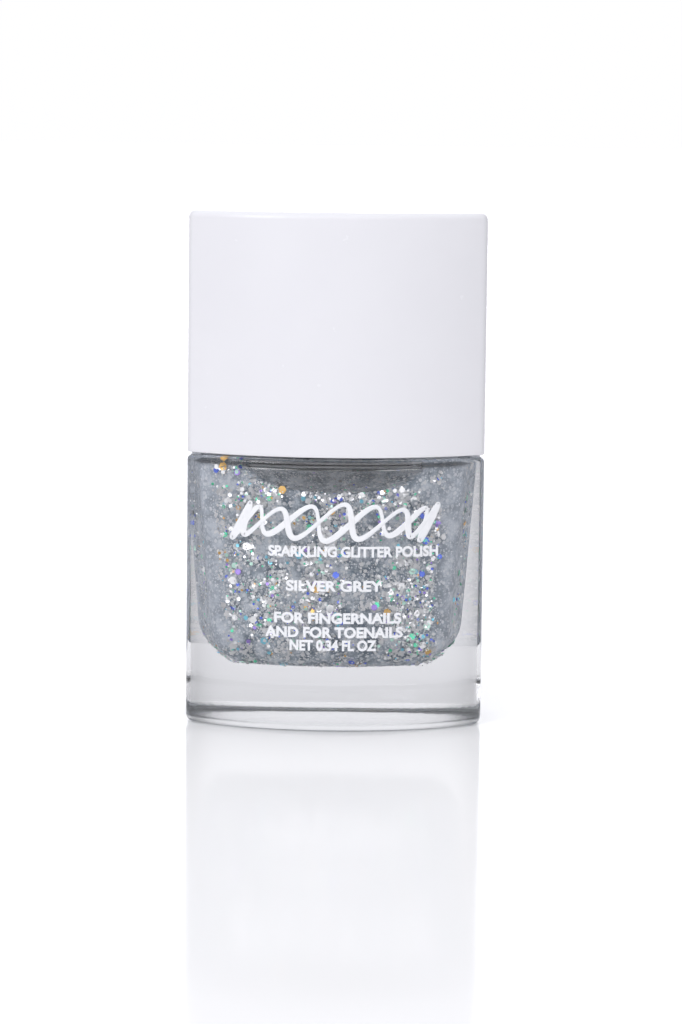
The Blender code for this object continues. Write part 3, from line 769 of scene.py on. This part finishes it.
def clumping(points):
    """How likely a flake is at each point, from 0 to 1: swirls with thin places between, and thin sides."""
    draw = np.random.default_rng(SWIRL_SEED)
    swirl = np.zeros(len(points))
    for wavelength in SWIRL_LENGTHS:
        for _ in range(SWIRLS_OF_EACH):
            direction = draw.normal(size=3)
            wave = points @ (direction / np.linalg.norm(direction)) * 2 * math.pi / wavelength
            swirl += np.cos(wave + draw.uniform(0, 2 * math.pi))
    return smooth_share(*SWIRL_EDGES, swirl) * (1 - SIDE_THINNING * side_nearness(points))


def scattered_points(draw, count, shallow, deep):
    """Random points in the layer of the liquid between two depths, in loose clumps."""
    found = np.empty((0, 3))
    low = np.array([-CAVITY_HALF_HIGH, -DEPTH / 2, CAVITY_FLOOR])
    high = np.array([CAVITY_HALF_HIGH, DEPTH / 2, CAVITY_TOP])
    while len(found) < count:
        points = draw.uniform(low, high, (4 * count, 3))
        depth = depth_inside(points)
        kept = (depth > shallow) & (depth < deep) & (draw.random(len(points)) < clumping(points))
        found = np.concatenate([found, points[kept]])
    return found[:count]


def wall_normals(points):
    """The direction out of the liquid at each point."""
    step = 0.05 * MM
    slopes = []
    for axis in range(3):
        shift = np.zeros(3)
        shift[axis] = step
        slopes.append(depth_inside(points - shift) - depth_inside(points + shift))
    normals = np.array(slopes).T
    return normals / np.maximum(np.linalg.norm(normals, axis=1, keepdims=True), 1e-9)


def turned_frames(draw, points, alignment):
    """Three axes for each flake. alignment says how much they lie along the wall: 0 is not at all."""
    count = len(points)
    facing = draw.normal(size=(count, 3))
    facing /= np.linalg.norm(facing, axis=1, keepdims=True)
    facing += wall_normals(points) * SETTLING * alignment
    facing /= np.linalg.norm(facing, axis=1, keepdims=True)
    across = np.cross(facing, draw.normal(size=(count, 3)))
    across /= np.linalg.norm(across, axis=1, keepdims=True)
    return across, np.cross(facing, across), facing


GRAIN_FACES = [(0, 1, 2), (1, 3, 2), (3, 4, 2), (4, 0, 2), (1, 0, 5), (3, 1, 5), (4, 3, 5), (0, 4, 5)]


def flat_flake(corners, thickness):
    """A thin prism with this outline, as vertices of unit size and faces."""
    count = len(corners)
    low = [(x, y, -thickness) for x, y in corners]
    high = [(x, y, thickness) for x, y in corners]
    faces = [tuple(range(count - 1, -1, -1)), tuple(range(count, 2 * count))]
    for i in range(count):
        j = (i + 1) % count
        faces.append((i, j, count + j, count + i))
    return np.array(low + high), faces


def regular(corners):
    angles = 2 * math.pi * np.arange(corners) / corners
    return list(zip(np.cos(angles), np.sin(angles)))


def make_flakes(name, flake, palette, count, sizes, alignment, deep, seed, stretch=(1.0, 1.0)):
    """One piece of many flakes. palette is a list of (material, share)."""
    draw = np.random.default_rng(seed)
    shape, shape_faces = flake
    smallest, largest = sizes
    points = scattered_points(draw, count, min(largest * 0.6, deep * 0.6), deep)
    across, along, facing = turned_frames(draw, points, alignment)
    size = smallest + (largest - smallest) * draw.random(count) ** 2
    long_side = draw.uniform(*stretch, count)
    vertices = (
        points[:, None, :]
        + across[:, None, :] * (shape[None, :, 0:1] * (size * long_side)[:, None, None])
        + along[:, None, :] * (shape[None, :, 1:2] * size[:, None, None])
        + facing[:, None, :] * (shape[None, :, 2:3] * size[:, None, None])
    ).reshape(-1, 3)
    faces = [tuple(k * len(shape) + i for i in face) for k in range(count) for face in shape_faces]
    shares = np.array([share for _, share in palette], float)
    tints = draw.choice(len(palette), count, p=shares / shares.sum())
    piece = add_mesh(name, vertices, faces, [material for material, _ in palette], smooth=False)
    piece.data.polygons.foreach_set("material_index", np.repeat(tints, len(shape_faces)).astype(np.int32))
    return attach(piece, "bottle")


def make_glitter():
    silver = foil_material("silver_foil", (0.985, 0.985, 0.99), 0.28)
    dark_silver = foil_material("dim_silver_foil", (0.70, 0.74, 0.78), 0.35)
    pearl = foil_material("pearl", (0.985, 0.985, 0.99), 0.4, metallic=0.0)
    every = [silver, pearl] + [foil_material(*foil, 0.35, metallic=0.8) for foil in FOIL_COLOURS.items()]
    plain = [(silver, 8), (pearl, 7), (dark_silver, 1)]
    fine = list(zip(every, FINE_MIX))
    coarse = list(zip(every, COARSE_MIX))
    grain = (np.vstack([np.eye(3), -np.eye(3)]) * (1.0, 1.0, 0.2), GRAIN_FACES)
    hexagon = flat_flake(regular(6), 0.06)
    shard = flat_flake([(-1.0, -0.5), (0.35, -0.8), (1.0, 0.1), (0.1, 0.85), (-0.8, 0.45)], 0.05)
    for name, flake, palette, count, smallest, largest, alignment, deep, seed in (
        ("glitter_dust", grain, plain, 21500, 0.07, 0.15, 2.2, CLEAR_DEPTH, 11),
        ("glitter_specks", hexagon, fine, 8800, 0.10, 0.24, 2.6, CLEAR_DEPTH, 12),
        ("glitter_spangles", hexagon, fine, 5500, 0.16, 0.34, 3.2, CLEAR_DEPTH, 15),
        ("glitter_hexagons", hexagon, coarse, 260, 0.38, 0.54, 4.5, NEAR_WALL, 13),
        ("glitter_shards", shard, plain, 260, 0.30, 0.62, 3.0, NEAR_WALL, 14),
    ):
        sizes = (smallest * MM, largest * MM)
        stretch = SHARD_STRETCH if flake is shard else (1.0, 1.0)
        make_flakes(name, flake, palette, count, sizes, alignment, deep, seed, stretch)


# Overcap


def make_overcap(material):
    wall, inner_edge = OVERCAP_WALL, OVERCAP_INNER_EDGE
    edge, mouth = OVERCAP_EDGE, OVERCAP_MOUTH_EDGE
    low, high = shell_low.z, shell_high.z
    ceiling = high - OVERCAP_TOP_WALL
    inner = body_ring(wall + inner_edge, ceiling)
    rings = [inner * (share, share, 1.0) for share in (0.3, 0.6, 0.95)]
    for out, up in quarter_round(4):
        rings.append(body_ring(wall + inner_edge * (1 - out), ceiling - inner_edge * (1 - up)))
    rings.append(body_ring(wall, ceiling - 2 * inner_edge))
    for narrowing, height in ((0, 3 * mouth), (0.5 * mouth, 0.5 * mouth), (mouth, 0)):
        rings.append(body_ring(wall - narrowing, low + height))
    for out, up in quarter_round(4):
        rings.append(body_ring(mouth * (1 - out), low + mouth * (1 - up)))
    for share in (0.02, 0.35, 0.65, 0.98):
        rings.append(body_ring(0.0, low + mouth + (high - low - mouth - edge) * share))
    for out, up in quarter_round(7):
        rings.append(body_ring(edge * (1 - up), high - edge + edge * out))
    top = body_ring(edge, high)
    rings += [top * (share, share, 1.0) for share in (0.96, 0.6, 0.3)]
    shell = surface("overcap", rings, material, start=(0, 0, ceiling), end=(0, 0, high))
    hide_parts("overcap_shell")
    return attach(shell, "overcap")


# Front print


def front_at(x):
    """How far out the glass's front is at x."""
    return BOW_RADIUS - DEPTH / 2 - np.sqrt(BOW_RADIUS**2 - x**2)


def flourish_line(steps=1200):
    """A closed braid of slanted loops, as points across the front and half the stroke's breadth at each."""
    turn = 2 * math.pi * np.arange(steps) / steps
    swell, swell_change = FLOURISH_SWELL
    stroke, stroke_change = FLOURISH_STROKE
    rise = (swell + swell_change * np.cos(4 * turn)) * np.sin(FLOURISH_LOOPS * turn)
    x = FLOURISH_HALF_LENGTH * np.cos(turn) + FLOURISH_SLANT * rise
    breadth = stroke + stroke_change * np.cos(FLOURISH_LOOPS * turn + 0.5)
    return x, FLOURISH_MIDDLE + rise, breadth, turn


def make_flourish(material):
    """A raised ribbon of white ink along the flourish. One half is thicker, so it passes over the other."""
    x, height, breadth, turn = flourish_line()
    slope_x = np.roll(x, -1) - np.roll(x, 1)
    slope_z = np.roll(height, -1) - np.roll(height, 1)
    length = np.hypot(slope_x, slope_z)
    side_x, side_z = slope_z / length, -slope_x / length
    thick = INK_THICKNESS * (1 + 0.25 * np.sin(turn))
    rings = []
    for k in range(len(x)):
        ring = []
        for side, out in FLOURISH_SECTION:
            px = x[k] + side * breadth[k] * side_x[k]
            pz = height[k] + side * breadth[k] * side_z[k]
            ring.append((px, front_at(px) - out * thick[k], pz))
        rings.append(np.array(ring))
    return finish_print(surface("front_flourish", rings, material, loop=True))


def finish_print(piece):
    face_outward(piece)
    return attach(piece, "bottle")


def face_outward(piece):
    edit = bmesh.new()
    edit.from_mesh(piece.data)
    bmesh.ops.remove_doubles(edit, verts=edit.verts, dist=0.001 * MM)
    bmesh.ops.recalc_face_normals(edit, faces=edit.faces)
    edit.to_mesh(piece.data)
    edit.free()


def make_text_line(words, left, right, middle, material):
    """One line of plain capitals, stretched between its ends and laid on the bowed front."""
    curve = bpy.data.curves.new("line", "FONT")
    curve.body = words
    curve.extrude = INK_THICKNESS
    curve.offset = LETTER_BOLDNESS
    curve.resolution_u = 4
    source = bpy.data.objects.new("line", curve)
    bpy.context.scene.collection.objects.link(source)
    bpy.context.view_layer.update()
    depsgraph = bpy.context.evaluated_depsgraph_get()
    mesh = bpy.data.meshes.new_from_object(source.evaluated_get(depsgraph))
    bpy.data.objects.remove(source)
    points = np.array([v.co for v in mesh.vertices])
    low, high = points.min(axis=0), points.max(axis=0)
    points[:, 0] = left + (points[:, 0] - low[0]) / (high[0] - low[0]) * (right - left)
    heights = middle + ((points[:, 1] - low[1]) / (high[1] - low[1]) - 0.5) * LETTER_HEIGHT
    outs = points[:, 2] + INK_THICKNESS * 0.2
    placed = np.column_stack([points[:, 0], front_at(points[:, 0]) - outs, heights])
    mesh.vertices.foreach_set("co", placed.ravel())
    name = "front_" + words.split()[-1].lower()
    mesh.name = name
    mesh.materials.append(material)
    piece = bpy.data.objects.new(name, mesh)
    bpy.context.scene.collection.objects.link(piece)
    return finish_print(piece)


# Brush and caps


def turned(name, profile, material, count=64):
    """A closed surface round the axis. The profile starts and ends on the axis."""
    rings = [circle_ring(radius, height, count) for radius, height in profile[1:-1]]
    return surface(name, rings, material, start=(0, 0, profile[0][1]), end=(0, 0, profile[-1][1]))


def softened(profile, radius=0.12 * MM):
    """Cuts each corner of a profile into a short curve."""
    soft = [profile[0]]
    for before, corner, after in zip(profile, profile[1:], profile[2:]):
        ends = []
        for other in (before, after):
            run = math.dist(corner, other)
            share = min(radius, run * 0.4) / run
            ends.append(tuple(c + (o - c) * share for c, o in zip(corner, other)))
        middle = tuple(0.5 * c + 0.25 * (a + b) for c, a, b in zip(corner, *ends))
        soft += [ends[0], middle, ends[1]]
    return soft + [profile[-1]]


def make_stem(material):
    base = FLANGE_BASE
    flange_top = base + FLANGE_THICKNESS
    top = flange_top + PLUG_HEIGHT
    tip = stem_low.z
    taper_low, taper_high = STEM_TAPER
    root_out, root_down = STEM_ROOT
    edge_in, edge_up = STEM_TIP_EDGE
    bead_start, bead_full, bead_end = PLUG_BEAD
    profile = [
        (0.0, tip + STEM_HOLE_DEPTH),
        (STEM_HOLE_RADIUS, tip + STEM_HOLE_DEPTH),
        (STEM_HOLE_RADIUS, tip),
        (STEM_RADIUS - edge_in, tip),
        (STEM_RADIUS, tip + edge_up),
        (STEM_RADIUS, base - taper_low),
        (STEM_TOP_RADIUS, base - taper_high),
        (STEM_TOP_RADIUS, base - root_down),
        (STEM_TOP_RADIUS + root_out, base),
        (FLANGE_RADIUS, base),
        (FLANGE_RADIUS, flange_top),
        (PLUG_RADIUS, flange_top),
        (PLUG_RADIUS, top - bead_start),
        (PLUG_BEAD_RADIUS, top - bead_full),
        (PLUG_BEAD_RADIUS, top - bead_end),
        (PLUG_TOP_RADIUS, top),
        (0.0, top),
    ]
    stem = turned("applicator_stem", softened(profile), material)
    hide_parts("brush_stem")
    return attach(stem, "brush")


def make_bristles(material):
    """Filaments that swell below the stem's hole and end in a dome, drawn together as when wet."""
    draw = np.random.default_rng(TUFT_SEED)
    sides, steps = FILAMENT_SIDES, FILAMENT_STEPS
    golden = math.pi * (3 - math.sqrt(5))
    taper_start, taper_loss = FILAMENT_TAPER
    vertices, faces = [], []
    low, high = tuft_low.z + 0.1 * MM, stem_low.z + TUFT_HELD
    for index in range(FILAMENTS):
        share = math.sqrt((index + 0.5) / FILAMENTS)
        angle = golden * index
        tip = low + TUFT_DOME * share**TUFT_DOME_POWER + draw.uniform(0, TUFT_UNEVENNESS)
        sway = draw.uniform(-0.06, 0.06)
        first = len(vertices)
        for step in range(steps + 1):
            along = step / steps
            height = high + (tip - high) * along
            free = max(0.0, (stem_low.z - height) / (stem_low.z - low))
            swell = (TUFT_RADIUS - TUFT_ROOT_RADIUS) * math.sin(math.pi * min(free * 0.85, 1))
            reach = TUFT_ROOT_RADIUS + swell - TUFT_GATHER * free
            turn = angle + free * sway
            radius = FILAMENT_RADIUS * (1 - taper_loss * max(0.0, along - taper_start) / (1 - taper_start))
            centre = (share * reach * math.cos(turn), share * reach * math.sin(turn))
            for side in range(sides):
                round_angle = 2 * math.pi * side / sides
                dx, dy = radius * math.cos(round_angle), radius * math.sin(round_angle)
                vertices.append((centre[0] + dx, centre[1] + dy, height))
        faces.append(tuple(range(first, first + sides)))
        faces.append(tuple(range(first + (steps + 1) * sides - 1, first + steps * sides - 1, -1)))
        for step in range(steps):
            for side in range(sides):
                a = first + step * sides + side
                b = first + step * sides + (side + 1) % sides
                faces.append((b, a, a + sides, b + sides))
    bristles = add_mesh("bristles", vertices, faces, material)
    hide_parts("brush_tuft")
    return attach(bristles, "brush")


def make_liner_ring(material):
    """A flat ring with rounded edges. Its section goes round through four corners."""
    rings = []
    corners = ((1, 1), (-1, 1), (-1, -1), (1, -1))
    for quarter, (out, up) in enumerate(corners):
        radius = (LINER_OUTER if out > 0 else LINER_INNER) - out * LINER_ROUNDING
        height = (liner_high.z if up > 0 else liner_low.z) - up * LINER_ROUNDING
        for step in range(4):
            angle = math.pi / 2 * (quarter + step / 3)
            ring_radius = radius + LINER_ROUNDING * math.cos(angle)
            rings.append(circle_ring(ring_radius, height + LINER_ROUNDING * math.sin(angle), LINER_POINTS))
    ring = surface("liner_ring", rings, material, loop=True)
    face_outward(ring)
    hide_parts("sealing_liner")
    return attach(ring, "liner")


def ribbed_radius(strength):
    """The screw cap's outer radius round its ring. strength fades the ribs out at their ends."""
    part = np.mod((ring_angles(CAP_POINTS) / (2 * math.pi)) * CAP_RIBS, 1.0)
    rib = smooth_share(0.42, 0.52, part) * smooth_share(1.0, 0.94, part)
    return CAP_VALLEY_RADIUS + (CAP_RIB_RADIUS - CAP_VALLEY_RADIUS) * rib * strength


def make_screw_cap(material):
    low, top, boss_top = cap_low.z, CAP_TOP, cap_high.z
    plug_hole = PLUG_BEAD_RADIUS + GAP
    plug_top = FLANGE_BASE + FLANGE_THICKNESS + PLUG_HEIGHT + GAP

    def ring(radius, height):
        return circle_ring(radius, height, CAP_POINTS)

    rings = [ring(radius, plug_top) for radius in (0.5 * plug_hole, 0.96 * plug_hole)]
    rings += [ring(plug_hole, height) for height in (plug_top - 0.1 * MM, CAP_CEILING + 0.2 * MM)]
    rings += [ring(plug_hole + 0.15 * MM, CAP_CEILING), ring(CAP_BORE_RADIUS - 0.15 * MM, CAP_CEILING)]
    for height in np.linspace(CAP_CEILING - 0.15 * MM, low + 0.4 * MM, 90):
        ridge = thread_ridge(height, CAP_THREAD_START, CAP_THREAD_HEIGHT, CAP_POINTS)
        rings.append(ring(CAP_BORE_RADIUS - ridge, height))
    rings.append(ring(CAP_BORE_RADIUS + 0.2 * MM, low + 0.05 * MM))
    rings.append(ring(CAP_BORE_RADIUS + 0.3 * MM, low))
    rings.append(ring(CAP_VALLEY_RADIUS - 0.1 * MM, low))
    rings.append(ring(ribbed_radius(0.0), low + 0.1 * MM))
    for height, strength in CAP_RIB_HEIGHTS:
        rings.append(ring(ribbed_radius(strength), low + height * MM))
    for out, up in quarter_round(4):
        inset = CAP_EDGE_RADIUS * (1 - up)
        rings.append(ring(ribbed_radius(1.0) - inset, top - CAP_EDGE_RADIUS * (1 - out)))
    rings += [ring(radius, top) for radius in CAP_TOP_RADII]
    for out, up in quarter_round(3):
        rings.append(ring(CAP_BOSS_RADIUS + CAP_BOSS_ROOT * (1 - out), top + CAP_BOSS_ROOT * (1 - up)))
    for out, up in quarter_round(4):
        inset = CAP_BOSS_EDGE * (1 - up)
        rings.append(ring(CAP_BOSS_RADIUS - inset, boss_top - CAP_BOSS_EDGE * (1 - out)))
    rings.append(ring(0.5 * CAP_BOSS_RADIUS, boss_top))
    cap = surface("ribbed_screw_cap", rings, material, start=(0, 0, plug_top), end=(0, 0, boss_top))
    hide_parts("inner_cap")
    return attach(cap, "screw_cap")


def dress_node(name, material):
    """Gives a carried-over CAD node its finish."""
    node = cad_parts[name]
    node.data.materials.clear()
    node.data.materials.append(material)
    edges = node.modifiers.new("edges", "BEVEL")
    edges.width = 0.06 * MM
    edges.segments = 2
    edges.limit_method = "ANGLE"
    edges.angle_limit = math.radians(50)
    even_normals(node)


# Stage


def make_floor():
    steps = 8
    line = np.linspace(-FLOOR_REACH, FLOOR_REACH, steps + 1)
    vertices = [(x, y, -AIR_FILM) for y in line for x in line]
    faces = []
    for row in range(steps):
        for column in range(steps):
            a = row * (steps + 1) + column
            faces.append((a, a + 1, a + steps + 2, a + steps + 1))
    add_mesh("floor", vertices, faces, floor_material(), smooth=False)


def studio_patch(tree, direction, cosine_edge, cosine_full, strength):
    """A soft light in one direction of the world, as an amount to add to its brightness."""
    dot = tree.nodes.new("ShaderNodeVectorMath")
    dot.operation = "DOT_PRODUCT"
    seen = tree.nodes.new("ShaderNodeTexCoord").outputs["Generated"]
    feed(tree, dot, {0: seen, 1: Vector(direction).normalized()})
    return spread(tree, dot.outputs["Value"], 0.0, strength, (cosine_edge, cosine_full), smooth=True)


def make_studio():
    """A soft box overhead, lights in front and at both sides, and a lit backdrop.

    The backdrop is pure white to the camera, and brighter in reflections than through the glass.
    """
    world = bpy.data.worlds.new("studio")
    bpy.context.scene.world = world
    world.use_nodes = True
    tree = world.node_tree
    path = tree.nodes.new("ShaderNodeLightPath")
    backdrop = studio_patch(tree, *BACKDROP, BACKDROP_LIGHT)
    through_glass = combined(tree, "GREATER_THAN", path.outputs["Transmission Depth"], 0.5)
    mirrored = combined(tree, "SUBTRACT", path.outputs["Is Glossy Ray"], through_glass)
    boost = combined(tree, "MULTIPLY", combined(tree, "MAXIMUM", mirrored, 0.0), BACKDROP_IN_REFLECTIONS)
    total = combined(tree, "MULTIPLY", backdrop, combined(tree, "ADD", boost, 1.0))
    for light in STUDIO_LIGHTS:
        total = combined(tree, "ADD", total, studio_patch(tree, *light))
    total = combined(tree, "ADD", total, ROOM_LIGHT)
    strength = combined(tree, "MAXIMUM", total, path.outputs["Is Camera Ray"])
    feed(tree, tree.nodes["Background"], {"Color": (*ROOM_COLOUR, 1.0), "Strength": strength})


def make_camera():
    """Higher than the overcap's top, looking slightly down, with the small lean of a hand-held frame."""
    camera = bpy.data.cameras.new("camera")
    camera.lens = CAMERA_LENS
    camera.sensor_width = 36.0
    camera.clip_start = 0.01
    place = bpy.data.objects.new("camera", camera)
    place.location = CAMERA_PLACE
    place.rotation_mode = "ZXY"
    place.rotation_euler = (CAMERA_PITCH, 0.0, CAMERA_TURN)
    bpy.context.scene.collection.objects.link(place)
    bpy.context.scene.camera = place
    bpy.context.scene.view_settings.view_transform = "Standard"


make_camera()
make_floor()
make_studio()
make_glass(glass_material(), wetted_glass_material())
make_suspension(suspension_material())
make_glitter()
ink = ink_material()
make_flourish(ink)
for line in TEXT_LINES:
    make_text_line(*line, ink)
clear_plastic = moulded_material("white_polypropylene", (0.90, 0.90, 0.90), (0.86, 0.86, 0.87), 0.4)
grey_plastic = moulded_material("grey_polypropylene", (0.80, 0.80, 0.81), (0.74, 0.74, 0.75), 0.45)
steel = steel_material()
make_stem(clear_plastic)
make_bristles(nylon_material())
make_liner_ring(foam_material())
make_screw_cap(grey_plastic)
make_overcap(overcap_material())
dress_node("overcap_insert", clear_plastic)
for steel_node in ("brush_staple", "mixing_ball_a", "mixing_ball_b"):
    dress_node(steel_node, steel)
